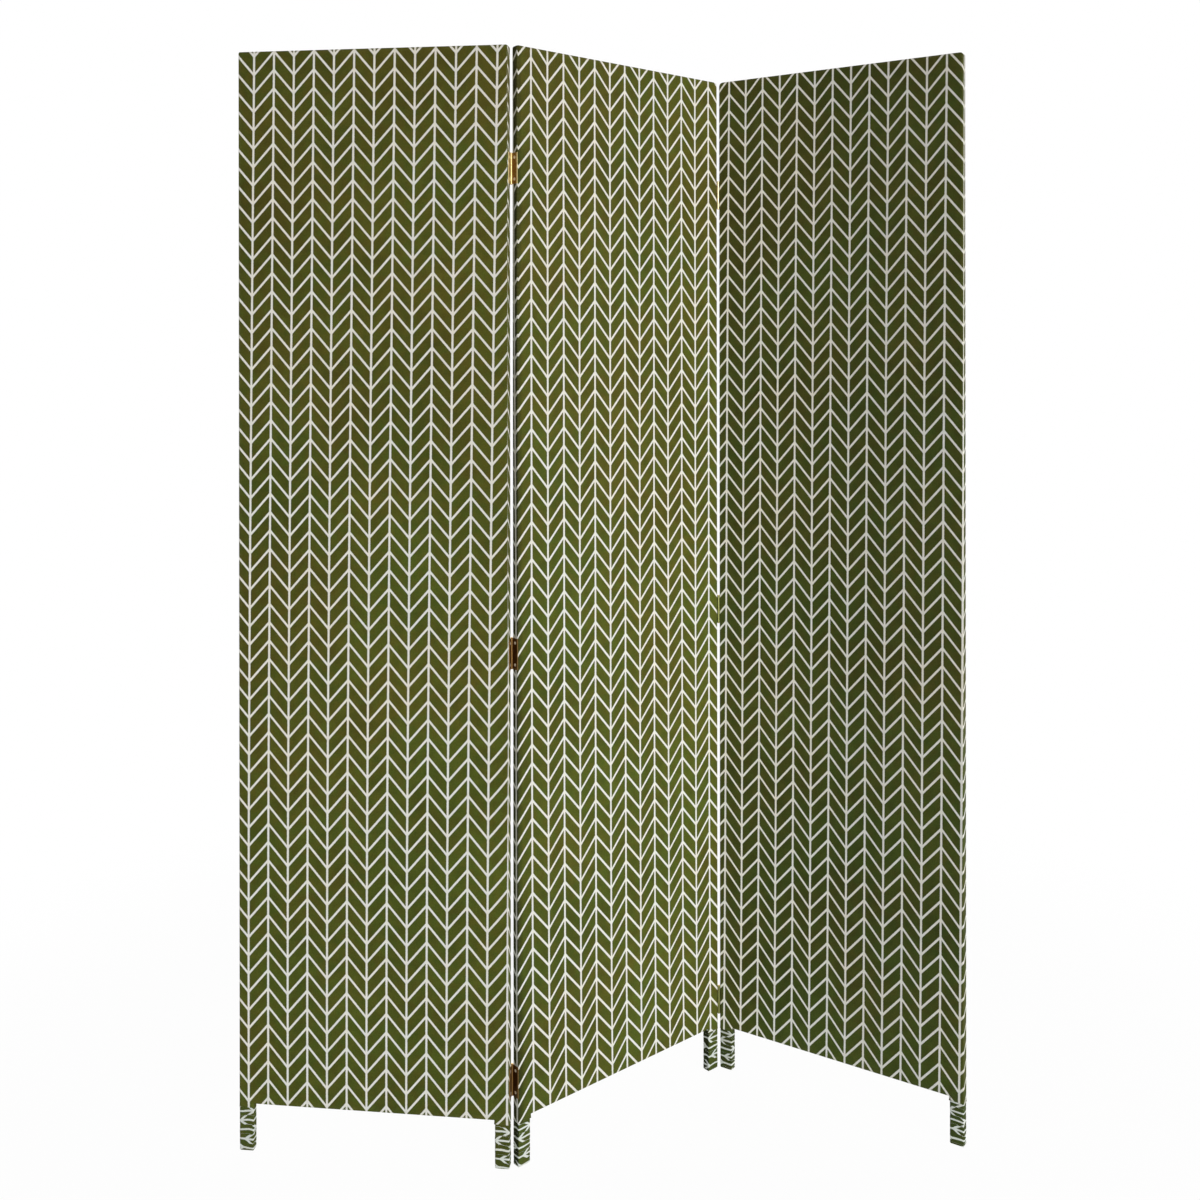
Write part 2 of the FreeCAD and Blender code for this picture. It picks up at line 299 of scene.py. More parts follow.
# %% [markdown]
# The print
#
# The cloth is printed olive with pale lines left bare: upright lines about 34 mm apart, and slanting lines
# that climb from one upright to the next and fall again, which makes rows of chevrons 30 mm apart. An image
# would be the usual way, but a formula stays sharp at any distance. A zigzag wave of the position across the
# cloth lifts the rows, and the distance to the nearest line, upright or slanting, decides between olive and
# bare cloth. A soft minimum of the two distances fills the corners a little, as ink that stops short of
# them.
#
# Each map position is in metres on the flat cloth. The print doesn't sit quite straight on any panel,
# because the cloth was pulled by hand. On each panel the first upright, the distance between uprights and
# the height of the rows drift in their own way with the height and with the side. At the two edges beside
# the left fold the cloth was also pulled across, so the print moves on quickly there. The zigzag rises from
# the first upright of the left panel and falls from that of the others.

# %% Where a point lies in the print
PRINT_COLUMN = 0.0336
PRINT_ROW = 0.0300
PRINT_RISE = 0.0382
MIDDLE_HEIGHT = 0.938
HALF_HEIGHT = 0.862
EDGE_ROUND = 0.0021
EDGE_CLIMB = 0.004
CLIMB_REACH = 0.006
PULL_RATE = 2
PULL_REACH = 0.003
SKIP_RATE = 38
SKIP_REACH = 0.0005
LEAN_REACH = 0.0025


def ease(value):
    """A smooth step from 0 to 1."""
    share = min(max(value, 0.0), 1.0)
    return share * share * (3 - 2 * share)


def print_place(panel, across, up):
    """Where a point of the flat cloth lies in the print; across is from the panel's left edge."""
    side = (across - PANEL_WIDE / 2) / (PANEL_WIDE / 2)
    high = (up - MIDDLE_HEIGHT) / HALF_HEIGHT
    from_peak = 1
    if panel == "left":
        from_peak = 0
        first = 0.01916 + 0.00673 * high + 0.0027 * high ** 2 - 0.0011 * high ** 3
        column = 0.0334 + 0.00035 * high
        row = -0.01263 - 0.00122 * side - 0.00059 * high + 0.00276 * high ** 2 - 0.00058 * side * high
        climb = EDGE_CLIMB * math.exp((min(across, PANEL_WIDE) - PANEL_WIDE) / CLIMB_REACH)
        row += 0.00046 * side ** 2 + climb
        # past the fold the print is pulled on, and in the upper half it skips over half a column
        past = max(across - PANEL_WIDE + EDGE_ROUND, 0)
        skip = SKIP_RATE * ease((high + 0.25) / 0.6)
        across += PULL_RATE * min(past, PULL_REACH) + skip * min(past, SKIP_REACH)
    elif panel == "middle":
        first = 0.02764 - 0.00037 * high + 0.0014 * high ** 2 - 0.00145 * high ** 3
        column = 0.03332
        row = 0.00598 + 0.00154 * side + 0.00077 * high + 0.00068 * high ** 2 + 0.0012 * side * high
        row += 0.00076 * side ** 2
        # the line that runs down the hinge edge leans
        lean = 0.0017 - 0.0085 * max(high, 0) + 0.0015 * min(high, 0)
        across -= lean * ease((EDGE_ROUND - across) / LEAN_REACH)
    else:
        first = 0.01465 + 0.005 * high + 0.00036 * high ** 2 + 0.00144 * high ** 3
        column = 0.03342 + 0.0001 * high
        row = -0.00184 * side ** 2
    return ((across - first) / column + from_peak) * PRINT_COLUMN, up - row


print("print repeat:", 2 * PRINT_COLUMN, "by", PRINT_ROW)

# %% Lines of the print
PRINT_LINE = 0.0035
INK_SOFT = 0.0003
LINE_WOBBLE = 0.0008
CORNER_FILL = 0.0012
LEG_THINNER = 0.00025
slant_cosine = PRINT_COLUMN / math.hypot(PRINT_COLUMN, PRINT_RISE)


def bare_lines(tree, place, across, up, on_leg):
    """1 on the pale lines of the print and 0 on the olive between them."""
    wobble = maths(tree, "MULTIPLY", maths(tree, "SUBTRACT", mottle(tree, place, 420), 0.5), LINE_WOBBLE)
    column = maths(tree, "DIVIDE", across, PRINT_COLUMN)
    upright = maths(tree, "MULTIPLY", maths(tree, "PINGPONG", column, 0.5), PRINT_COLUMN)
    climb = maths(tree, "MULTIPLY", maths(tree, "PINGPONG", column, 1.0), PRINT_RISE)
    row = maths(tree, "WRAP", maths(tree, "SUBTRACT", up, climb), PRINT_ROW / 2, -PRINT_ROW / 2)
    slanting = maths(tree, "MULTIPLY", maths(tree, "ABSOLUTE", row), slant_cosine)
    nearest = maths(tree, "SMOOTH_MIN", upright, slanting, CORNER_FILL)
    nearest = maths(tree, "MULTIPLY_ADD", on_leg, LEG_THINNER, maths(tree, "ADD", nearest, wobble))
    return spread(tree, nearest, PRINT_LINE / 2 - INK_SOFT, PRINT_LINE / 2 + INK_SOFT, 1, 0, True)


slant = math.degrees(math.acos(slant_cosine))
print("lines", 1000 * PRINT_LINE, "mm wide, slanting ones climb at", round(slant, 1), "degrees")

# %% [markdown]
# The canvas
#
# Close to, the cloth is a plain weave of round cotton threads about half a millimetre apart. Two sine waves,
# one for each direction of thread, give the weave its relief and a little painted shade between the threads.
# Slubs, which are threads that are thicker in places, come from noise drawn out along each direction. The
# olive ink isn't even: it wanders between a brown and a green olive, it is painted greener toward the foot
# for the light there, and it is cloudy in three sizes, from a hand's width down to a thread. Each panel has
# its own shade of ink and bare cloth, painted lighter or darker for the light that falls on it, the ink
# darkest on the right.

# %% Threads
THREAD_PAIR = 0.0011
SLUB_THIN = 1800
SLUB_LONG = 60


def threads(tree, place, across, up):
    """Height of the weave from 0 to 1, and its slubs."""
    warp = maths(tree, "SINE", maths(tree, "MULTIPLY", across, 2 * math.pi / THREAD_PAIR))
    weft = maths(tree, "SINE", maths(tree, "MULTIPLY", up, 2 * math.pi / THREAD_PAIR))
    weave = spread(tree, maths(tree, "MULTIPLY", warp, weft), -1, 1, 0, 1)
    warp_slub = mottle(tree, stretched(tree, place, (SLUB_THIN, SLUB_LONG, 1)), 1)
    weft_slub = mottle(tree, stretched(tree, place, (SLUB_LONG, SLUB_THIN, 1)), 1)
    return weave, maths(tree, "MAXIMUM", warp_slub, weft_slub)


print("threads", 500 * THREAD_PAIR, "mm apart")

# %% Olive and cream
# painted light: each panel's ink and bare cloth are made lighter or darker, and bluer or yellower, for the
# light on that panel
INK_AND_PANEL_SHADE = {"left": (1.025, 1.02, 0.88), "middle": (1.06, 1.06, 0.93), "right": (0.91, 0.945, 0.93)}
BARE_AND_PANEL_SHADE = {"left": 1.025, "middle": 0.998, "right": 1.04}
CLOUDS = ((4, 0.16), (45, 0.16), (600, 0.2))


def dyed(shares, red, green, blue):
    """A paint with each of its colours made stronger or weaker."""
    return paint(red * shares[0], green * shares[1], blue * shares[2])


def olive_and_cream(tree, panel, place, slub):
    """Colours of the ink and of the bare cloth on a panel, with its painted panel shade and greener foot,
    before the painted light gradient.
    """
    ink = INK_AND_PANEL_SHADE[panel]
    bare = (BARE_AND_PANEL_SHADE[panel], BARE_AND_PANEL_SHADE[panel], BARE_AND_PANEL_SHADE[panel])
    patches = spread(tree, mottle(tree, place, 6), 0.35, 0.65, -0.1, 0.5)
    blots = spread(tree, mottle(tree, place, 80), 0.35, 0.65, -0.28, 0.28)
    height = add_node(tree, "ShaderNodeSeparateXYZ", {0: place}).outputs[2]
    # painted light: the olive is painted greener low down and browner high up, as the light makes it look
    painted_light_greener_low = spread(tree, height, 0.1, COVER_TOP, 0.55, 0.05)
    patches = maths(tree, "ADD", maths(tree, "ADD", patches, blots), painted_light_greener_low)
    olive = tint(tree, patches, dyed(ink, 80, 75, 27), dyed(ink, 70, 82, 29))
    olive = tint(tree, spread(tree, slub, 0.45, 0.85, 0, 0.3), olive, dyed(ink, 100, 103, 42))
    for size, depth in CLOUDS:
        olive = times(tree, olive, spread(tree, mottle(tree, place, size), 0.25, 0.75, 1 - depth, 1 + depth))
    cream = tint(tree, patches, dyed(bare, 235, 230, 217), dyed(bare, 230, 231, 226))
    cream = tint(tree, spread(tree, slub, 0.5, 0.9, 0, 0.5), cream, dyed(bare, 214, 208, 190))
    return olive, cream


print("sizes of cloud in the ink:", len(CLOUDS))

# %% [markdown]
# Painted light, painted shade and wear
#
# The cloth has changed with use, and light and shade are painted on it as well. It is painted lighter near
# the floor, and across each panel the ink and the bare lines are painted lighter on one side than on the
# other, as the light falls. Along the hinge edge of the middle panel, and on the sides of its legs that look
# the same way, the olive is painted nearly black as shade. The olive on the leg strips is darker and bluer,
# and their bare lines a little darker. Folded edges are rubbed paler, and the pale lines go grey there. All
# this could be painted by hand on an image. Here it is worked out from the place on the cloth, which the map
# gives in metres, so it stays sharp and needs no file. The leg strips are known by their place in the map,
# far below the panels. The wear comes with the mesh, as a value called rub on each of its points.

# %% Painted light and painted shade on the cloth
INK_LIGHT_ACROSS = {"left": 0.04, "middle": 0.12, "right": -0.145}
BARE_LIGHT_ACROSS = {"left": -0.05, "middle": 0.05, "right": -0.155}
LIGHT_ACROSS_REACH = {"left": PANEL_WIDE, "middle": PANEL_WIDE, "right": 0.32}
PAINTED_LIGHTER_LOW = {"left": 0.07, "middle": 0.07, "right": 0.08}
PAINTED_SHADE_LEVEL = 0.3
PAINTED_SHADE_FULL = 0.004
PAINTED_SHADE_END = 0.0155
LEG_MAP_TOP = -0.5
LEG_INK = (0.82, 0.86, 1.2, 1)
LEG_BARE = (0.87, 0.92, 0.93, 1)


def painted_light_gradient(tree, panel, across, up, olive, cream):
    """Both colours with the panel's painted light: lighter below, and lighter on one side than the other."""
    foot, head = MIDDLE_HEIGHT - HALF_HEIGHT, MIDDLE_HEIGHT + HALF_HEIGHT
    side = spread(tree, across, 0, LIGHT_ACROSS_REACH[panel], -1, 1)
    high = spread(tree, up, foot, head, 1 + PAINTED_LIGHTER_LOW[panel], 1 - PAINTED_LIGHTER_LOW[panel])
    olive = times(tree, olive, maths(tree, "MULTIPLY_ADD", side, INK_LIGHT_ACROSS[panel], high))
    cream = times(tree, cream, maths(tree, "MULTIPLY_ADD", side, BARE_LIGHT_ACROSS[panel], high))
    return olive, cream


def painted_hinge_shade(tree, panel, across, on_leg, coordinates, olive):
    """Olive with painted shade, nearly black at the left edge of a panel and on the left sides of its legs.
    """
    olive = times(tree, olive, spread(tree, across, PAINTED_SHADE_FULL, PAINTED_SHADE_END, PAINTED_SHADE_LEVEL, 1))
    turned = facing(tree, coordinates, HEADING[panel] + 180)
    return times(tree, olive, spread(tree, turned, 0.4, 0.85, 1, PAINTED_SHADE_LEVEL), on_leg)


print("paler at the foot by", PAINTED_LIGHTER_LOW)


# %% Canvas materials
def printed_canvas(panel):
    """Cotton canvas with the chevron print on the map called cloth, for one panel."""
    finish, tree, shader = new_finish("printed_canvas_" + panel)
    coordinates = add_node(tree, "ShaderNodeTexCoord")
    place = add_node(tree, "ShaderNodeUVMap", uv_map="cloth").outputs[0]
    split = add_node(tree, "ShaderNodeSeparateXYZ", {0: place}).outputs
    across, up = split[0], split[1]
    on_leg = spread(tree, up, LEG_MAP_TOP, LEG_MAP_TOP + 0.1, 1, 0)
    weave, slub = threads(tree, place, across, up)
    olive, cream = olive_and_cream(tree, panel, coordinates.outputs["Object"], slub)
    # painted light: the cloth is lighter low down and on one side of each panel
    olive, cream = painted_light_gradient(tree, panel, across, up, olive, cream)
    # painted shade: the middle panel's hinge edge and its legs' left-facing sides go nearly black
    if panel == "middle":
        olive = painted_hinge_shade(tree, panel, across, on_leg, coordinates, olive)
    olive = times(tree, olive, LEG_INK, on_leg)
    cream = times(tree, cream, LEG_BARE, on_leg)
    rubbed = add_node(tree, "ShaderNodeAttribute", attribute_name="rub").outputs["Fac"]
    bald = spread(tree, mottle(tree, place, 260, 3), 0.4, 0.7, 0.05, 0.4)
    wear = maths(tree, "MULTIPLY", rubbed, bald)
    olive = tint(tree, maths(tree, "MULTIPLY", wear, 0.5), olive, paint(122, 122, 84))
    cream = tint(tree, maths(tree, "MULTIPLY", wear, 0.6), cream, paint(196, 190, 172))
    colour = tint(tree, bare_lines(tree, place, across, up, on_leg), olive, cream)
    # painted shade between the threads of the weave
    colour = tint(tree, spread(tree, weave, 0, 0.5, 0.16, 0), colour, paint(20, 20, 12))
    rough = spread(tree, slub, 0.3, 0.8, 0.92, 0.8)
    feed(tree, shader, {"Base Color": colour, "Roughness": rough, "Specular IOR Level": 0.12})
    feed(tree, shader, {"Sheen Weight": 0.02, "Sheen Roughness": 0.5})
    thread_height = maths(tree, "ADD", weave, maths(tree, "MULTIPLY", slub, 0.6))
    relief(tree, shader, thread_height, 0.00012, 0.5)
    return finish


canvas = {panel: printed_canvas(panel) for panel in HEADING}
print("canvas finishes:", len(canvas))

# %% [markdown]
# Laying cloth as grids
#
# A covered panel is one sheet of cloth that goes over four edges, so it is built as a few grids that share
# their borders: the middle, the strip over the top, the strip under the bottom and the corners. Each point
# knows its place, its place in the print and how much it is rubbed. Points that fall together are merged
# after all grids are laid, and a Solidify modifier gives the sheet its thickness. A box with bevels would be
# quicker, but then the print couldn't run over the edges as it does on real cloth.


# %% Steps and unevenness
def steps(start, end, count):
    """count + 1 even steps from start to end."""
    return [start + (end - start) * k / count for k in range(count + 1)]


def wander(*place):
    """Smooth, repeatable unevenness from about -1 to 1."""
    return noise.noise(Vector(place))


print("unevenness at one place:", round(wander(0.3, 0.7, 1.1), 3))


# %% Laying a grid
def start_cloth():
    """An empty sheet with a map for the print and a value for wear."""
    sheet = bmesh.new()
    return sheet, sheet.loops.layers.uv.new("cloth"), sheet.verts.layers.float.new("rub")


def lay_grid(cloth, rows):
    """Lays one grid. Each entry of rows is (place, place in the print, rub)."""
    sheet, cloth_map, rub = cloth
    points = []
    for row in rows:
        points.append([sheet.verts.new(entry[0]) for entry in row])
        for point, entry in zip(points[-1], row):
            point[rub] = entry[2]
    for j in range(len(rows) - 1):
        for i in range(len(rows[0]) - 1):
            ring = ((j, i), (j, i + 1), (j + 1, i + 1), (j + 1, i))
            face = sheet.faces.new([points[a][b] for a, b in ring])
            face.smooth = True
            for loop, (a, b) in zip(face.loops, ring):
                loop[cloth_map].uv = rows[a][b][1]


print("grids ready to lay")

# %% Finishing a cloth
MERGE_WITHIN = 2e-6
SLIVER = 1e-6


def baked(piece):
    """Turns a piece with modifiers into a plain mesh under the same name."""
    graph = bpy.context.evaluated_depsgraph_get()
    mesh = bpy.data.meshes.new_from_object(piece.evaluated_get(graph), depsgraph=graph)
    piece.modifiers.clear()
    piece.data = mesh
    mesh.name = piece.name
    return piece


def finish_cloth(name, cloth, panel, thick, outward=None):
    """Merges the grids, turns them to face outward, gives them thickness and stands them on the panel."""
    sheet = cloth[0]
    bmesh.ops.remove_doubles(sheet, verts=sheet.verts[:], dist=MERGE_WITHIN)
    bmesh.ops.dissolve_degenerate(sheet, edges=sheet.edges[:], dist=SLIVER)
    sheet.normal_update()
    if outward is not None:
        looks_out = sum(face.calc_area() * face.normal.dot(Vector(outward)) for face in sheet.faces)
        if looks_out < 0:
            bmesh.ops.reverse_faces(sheet, faces=sheet.faces[:])
    mesh = bpy.data.meshes.new(name)
    sheet.to_mesh(mesh)
    sheet.free()
    mesh.transform(standing(panel))
    mesh.materials.append(canvas[panel])
    piece = add_object(name, mesh)
    wall = piece.modifiers.new("thickness", "SOLIDIFY")
    wall.thickness = thick
    wall.offset = -1
    return baked(piece)


def tell(pieces):
    """Prints the names of finished pieces and how many faces each has."""
    for piece in pieces:
        print(piece.name, "faces:", len(piece.data.polygons))


print("points merge within", MERGE_WITHIN, "m")

# %% [markdown]
# The front cover
#
# The front cloth is stretched over the face of the frame, goes round all edges and is turned in on the back,
# where it is stapled. It follows one path at every edge: a quarter round, the flat of the edge, another
# quarter round, and the turn-in. At the top corners the path swings through a quarter turn, and at the back
# the turn-ins meet in a mitre. Pulled tight over the frame, most top corners come out rounder than the
# edges, so a corner's square of cloth is drawn in to a quarter disc. Below, the legs go through: there the
# cloth runs on a little way down over the leg and ends in a cut edge, and between the legs it goes under the
# bottom rail.

# %% The path over an edge
COVER_LOW = 0.0775
COVER_DEEP = 0.0144
BACK_FACE = COVER_DEEP / 2
TURN_IN = 0.028
quarter = math.pi / 2 * EDGE_ROUND
flat_edge = COVER_DEEP - 2 * EDGE_ROUND
to_back = 2 * quarter + flat_edge


def over_edge(run):
    """Follows the cloth past the flat of the front: how far out it stands and how far back it lies."""
    if run <= quarter:
        turn = run / EDGE_ROUND
        return EDGE_ROUND * math.sin(turn), EDGE_ROUND * (1 - math.cos(turn))
    if run <= quarter + flat_edge:
        return EDGE_ROUND, EDGE_ROUND + run - quarter
    if run <= to_back:
        turn = (run - quarter - flat_edge) / EDGE_ROUND
        return EDGE_ROUND * math.cos(turn), COVER_DEEP - EDGE_ROUND + EDGE_ROUND * math.sin(turn)
    return to_back - run, COVER_DEEP


def turned_in(run):
    """How far the cloth has come in on the back."""
    return max(0, run - to_back)


print("cloth over an edge:", round(1000 * (to_back + TURN_IN), 1), "mm")

# %% Rows and columns of the front cloth
LEG_WIDE = 0.0244
LEG_EDGE = LEG_WIDE + 0.0004
LEG_CENTRE = {"left": LEG_WIDE / 2, "right": PANEL_WIDE - LEG_WIDE / 2}
FINE_CORNER = 0.0085
FIELD_COLUMNS = 46
FRONT_ROWS = 190
edge_runs = steps(0, quarter, 6)[1:] + steps(quarter, quarter + flat_edge, 3)[1:]
edge_runs += steps(quarter + flat_edge, to_back, 5)[1:]
join_columns = steps(LEG_EDGE, EDGE_ROUND + TURN_IN, 2)
all_runs = edge_runs + [to_back + x - EDGE_ROUND for x in join_columns]
leg_columns = steps(EDGE_ROUND, FINE_CORNER, 5) + steps(FINE_CORNER, LEG_EDGE, 3)[1:]
left_columns = leg_columns + join_columns[1:]
right_columns = [PANEL_WIDE - x for x in reversed(left_columns)]
field_columns = steps(left_columns[-1], right_columns[0], FIELD_COLUMNS)[1:-1]
front_columns = left_columns + field_columns + right_columns
first_row, last_row = COVER_LOW + EDGE_ROUND, COVER_TOP - EDGE_ROUND
front_rows = steps(first_row, COVER_TOP - FINE_CORNER, FRONT_ROWS)
front_rows += steps(COVER_TOP - FINE_CORNER, last_row, 5)[1:]


def cover_columns():
    """Every column of the middle grid: (x, y, run across the flat cloth, turn-in)."""
    columns = []
    for run in reversed(all_runs):
        out, back = over_edge(run)
        columns.append((EDGE_ROUND - out, back, EDGE_ROUND - run, turned_in(run)))
    columns += [(x, 0, x, 0) for x in front_columns]
    for run in all_runs:
        out, back = over_edge(run)
        start = PANEL_WIDE - EDGE_ROUND
        columns.append((start + out, back, start + run, turned_in(run)))
    return columns


print("front cloth:", len(cover_columns()), "columns,", len(front_rows), "rows")

# %% Slack, wear and rounded corners
FIELD_SIDE = 0.012
FIELD_LOW = 0.1
FIELD_TOP = 1.78
SIDE_FADE = 0.06
END_FADE = 0.08
HOLLOW_DEEP = 0.00035
PULL_DEEP = 0.00008
PUCKER_DEEP = 0.00006
PUCKER_WAVES = 118
PUCKER_REACH = 0.025
RUB_REACH = 0.007
CORNER_ROUND = {"left": (0.0025, 0.005), "middle": (0.004, 0.0078), "right": (0.0078, 0.0055)}


def slack(panel, x, z):
    """How far the stretched cloth gives way, inward: a shallow hollow, small pulls and puckered edges."""
    seed = HEADING[panel]
    fade = ease((x - FIELD_SIDE) / SIDE_FADE) * ease((PANEL_WIDE - FIELD_SIDE - x) / SIDE_FADE)
    fade *= ease((z - FIELD_LOW) / END_FADE) * ease((FIELD_TOP - z) / END_FADE)
    hollow = HOLLOW_DEEP + HOLLOW_DEEP * wander(x * 4, z * 3, seed)
    pull = PULL_DEEP * wander(x * 14, z * 16, seed + 5)
    edge_gap = min(x, PANEL_WIDE - x, COVER_TOP - z)
    wave = math.sin(z * PUCKER_WAVES + 3 * wander(z * 6, seed, 1))
    return fade * hollow + pull + PUCKER_DEEP * wave * math.exp(-edge_gap / PUCKER_REACH)


def rubbing(x, z):
    """Wear near a folded edge."""
    edge_gap = min(x, PANEL_WIDE - x, COVER_TOP - z, z - COVER_LOW)
    return 1 - ease(edge_gap / RUB_REACH)


def drawn_in(panel, x, z):
    """A place near a top corner, moved from the corner's square into a quarter disc."""
    left, right = CORNER_ROUND[panel]
    mirrored = x > PANEL_WIDE / 2
    size = right if mirrored else left
    from_side = PANEL_WIDE - x if mirrored else x
    out, up = 1 - from_side / size, 1 - (COVER_TOP - z) / size
    if out <= 0 or up <= 0:
        return x, z
    new_side = size * (1 - out * math.sqrt(1 - min(up, 1) ** 2 / 2))
    new_z = COVER_TOP - size * (1 - up * math.sqrt(1 - min(out, 1) ** 2 / 2))
    return (PANEL_WIDE - new_side if mirrored else new_side), new_z


def cover_point(panel, x, back, z, across, up, wear):
    """One entry for a grid of the front cloth."""
    give = slack(panel, x, z) if back == 0 else 0
    new_x, new_z = drawn_in(panel, x, z)
    return Vector((new_x, back - BACK_FACE + give, new_z)), print_place(panel, across, up), wear


for panel in HEADING:
    print(panel, "front, hollow at its middle:", round(1000 * slack(panel, PANEL_WIDE / 2, 0.9), 2), "mm")

# %% Middle, top and underside of the front cloth
UNDER_RUB = 0.8


def face_grid(panel, columns):
    """The front, both edges and their turn-ins, which are mitred at the top."""
    rows = []
    for z in front_rows:
        share = (z - first_row) / (last_row - first_row)
        rows.append([cover_point(panel, x, back, z - share * turned, across, z, rubbing(x, z))
                     for x, back, across, turned in columns])
    return rows


def top_grid(panel):
    """The strip over the top, drawn together on the back for the mitre."""
    middle = PANEL_WIDE / 2
    rows = []
    for run in [0] + all_runs:
        out, back = over_edge(run)
        squeeze = 1 - turned_in(run) / (PANEL_WIDE / 2 - EDGE_ROUND)
        rows.append([cover_point(panel, middle + (x - middle) * squeeze, back, last_row + out,
                                 x, last_row + run, 1.0) for x in front_columns])
    return rows


def under_grids(panel):
    """The strip under the bottom rail, between the legs, and its turn-in."""
    hair = 1e-9
    under = [x for x in front_columns if LEG_EDGE - hair <= x <= PANEL_WIDE - LEG_EDGE + hair]
    inside = [x for x in under if left_columns[-1] - hair <= x <= right_columns[0] + hair]
    grids = []
    for runs, places in (([0] + edge_runs, under), ([to_back, to_back + TURN_IN], inside)):
        rows = []
        for run in reversed(runs):
            out, back = over_edge(run)
            low, up = first_row - out, first_row - run
            rows.append([cover_point(panel, x, back, low, x, up, UNDER_RUB) for x in places])
        grids.append(rows)
    return grids


print("strip over the top:", len(all_runs) + 1, "rows")

# %% Corners and cut ends of the front cloth
HEM_HEIGHT = 0.0715
CUT_UNEVEN = 0.0014
CUT_FLARE = 0.03
CUT_SAG = 0.002


def corner_grids(panel):
    """The top corners, each folded along its slanting middle."""
    grids = []
    for mirrored in (False, True):
        for from_side in (True, False):
            first_turn = 0 if from_side else math.pi / 4
            rows = []
            for angle in steps(first_turn, first_turn + math.pi / 4, 3):
                row = []
                for run in reversed([0] + edge_runs):
                    out, back = over_edge(run)
                    x = EDGE_ROUND - out * math.cos(angle)
                    z = last_row + out * math.sin(angle)
                    across = EDGE_ROUND - run if from_side else EDGE_ROUND * (1 - math.pi / 2 + angle)
                    up = last_row + EDGE_ROUND * angle if from_side else last_row + run
                    if mirrored:
                        x, across = PANEL_WIDE - x, PANEL_WIDE - across
                    row.append(cover_point(panel, x, back, z, across, up, 1.0))
                rows.append(row[::-1] if mirrored else row)
            grids.append(rows)
    return grids


def cut_grids(panel, columns):
    """The cut ends that run down over the legs."""
    count = len(all_runs) + len(leg_columns)
    ends = {"left": columns[2:count], "right": columns[len(columns) - count:-2]}
    grids = []
    for side, end_columns in ends.items():
        centre = LEG_CENTRE[side]
        rows = []
        for share in steps(1, 0, 5):
            row = []
            for x, back, across, _ in end_columns:
                hem = HEM_HEIGHT + CUT_UNEVEN * wander(across * 90, HEADING[panel], centre * 7)
                z = hem + (first_row - hem) * (1 - share)
                flare = 1 + CUT_FLARE * share ** 2
                give = slack(panel, x, z) * (1 - share) if back == 0 else 0
                place = Vector((centre + (x - centre) * flare, (back - BACK_FACE) * flare + give, z))
                row.append((place, print_place(panel, across, z - CUT_SAG * share), 0.5 + 0.5 * share))
            rows.append(row)
        grids.append(rows)
    return grids


print("cut ends hang", round(1000 * (COVER_LOW - HEM_HEIGHT), 1), "mm over the legs")

# %% Front cloths
CLOTH_THICK = 0.0008


def front_cover(panel):
    """One cloth over the front, the edges and the turn-ins of a panel."""
    cloth = start_cloth()
    columns = cover_columns()
    grids = [face_grid(panel, columns), top_grid(panel)]
    grids += under_grids(panel) + corner_grids(panel) + cut_grids(panel, columns)
    for rows in grids:
        lay_grid(cloth, rows)
    return finish_cloth(panel + "_front_cloth", cloth, panel, CLOTH_THICK)


front_cloths = {panel: front_cover(panel) for panel in HEADING}
tell(front_cloths.values())

# %% [markdown]
# Folded corners
#
# Where the cloth of the edge meets the cloth of the top there is too much of it. It is laid in a fold, and a
# three-cornered flap lies flat on top of the panel, as on a wrapped parcel. To fold the large sheet itself
# would take a simulation for a form that is a finger's width across. So the flap is a small sheet of its own
# that is draped on the rounded top, with its long side running slantwise from the front corner.

# %% Folded corners
FLAP_LONG = 0.0125
FLAP_LIFT = 0.0004
FLAP_THICK = 0.0006
FLAP_FRONT = 0.0026
FLAP_BACK = 0.0012
FLAP_SIDE = 0.0011
FLAP_TIP = 0.0004
FLAP_RUB = 0.7
FLAP_MAP_ACROSS = 0.09
FLAP_MAP_UP = 1.71


def top_height(x, y):
    """Height of the covered top at a place near a corner, with all edges rounded."""
    beyond_x = max(0, (EDGE_ROUND - x) / EDGE_ROUND)
    beyond_y = max(0, (abs(y) - BACK_FACE + EDGE_ROUND) / EDGE_ROUND)
    return COVER_TOP - EDGE_ROUND + EDGE_ROUND * math.sqrt(max(0, 1 - beyond_x ** 2 - beyond_y ** 2))


def corner_fold(panel, side):
    """The three-cornered flap on one top corner."""
    cloth = start_cloth()
    front, back = FLAP_FRONT - BACK_FACE, BACK_FACE - FLAP_BACK
    rows = []
    for share in steps(0, 1, 10):
        y = front + (back - front) * share
        row = []
        for part in steps(0, 1, 8):
            x = FLAP_SIDE + part * share * FLAP_LONG + FLAP_TIP * (1 - share)
            z = top_height(x, y) + FLAP_LIFT * (1 - 0.5 * (1 - part) ** 4)
            place_x, place_z = drawn_in(panel, x if side == "left" else PANEL_WIDE - x, z)
            on_print = print_place(panel, y + FLAP_MAP_ACROSS, x + FLAP_MAP_UP)
            row.append((Vector((place_x, y, place_z)), on_print, FLAP_RUB))
        rows.append(row)
    lay_grid(cloth, rows)
    return finish_cloth(panel + "_corner_fold_" + side, cloth, panel, FLAP_THICK, (0, 0, 1))


corner_folds = {}
for panel in HEADING:
    corner_folds[panel] = [corner_fold(panel, side) for side in LEG_CENTRE]
    tell(corner_folds[panel])

# %% [markdown]
# The back cloth
#
# The back is closed with a second piece of the same canvas. Its edges are turned under in a narrow hem, so
# it lies a little thicker along its border, and it is sewn down all round. A flat sheet would do from afar,
# but close to it is the rolled edge that says cloth. The border is one closed ring of points round a plain
# grid: every point of the grid's outline is pushed straight out, and the four corners swing through a
# quarter turn.

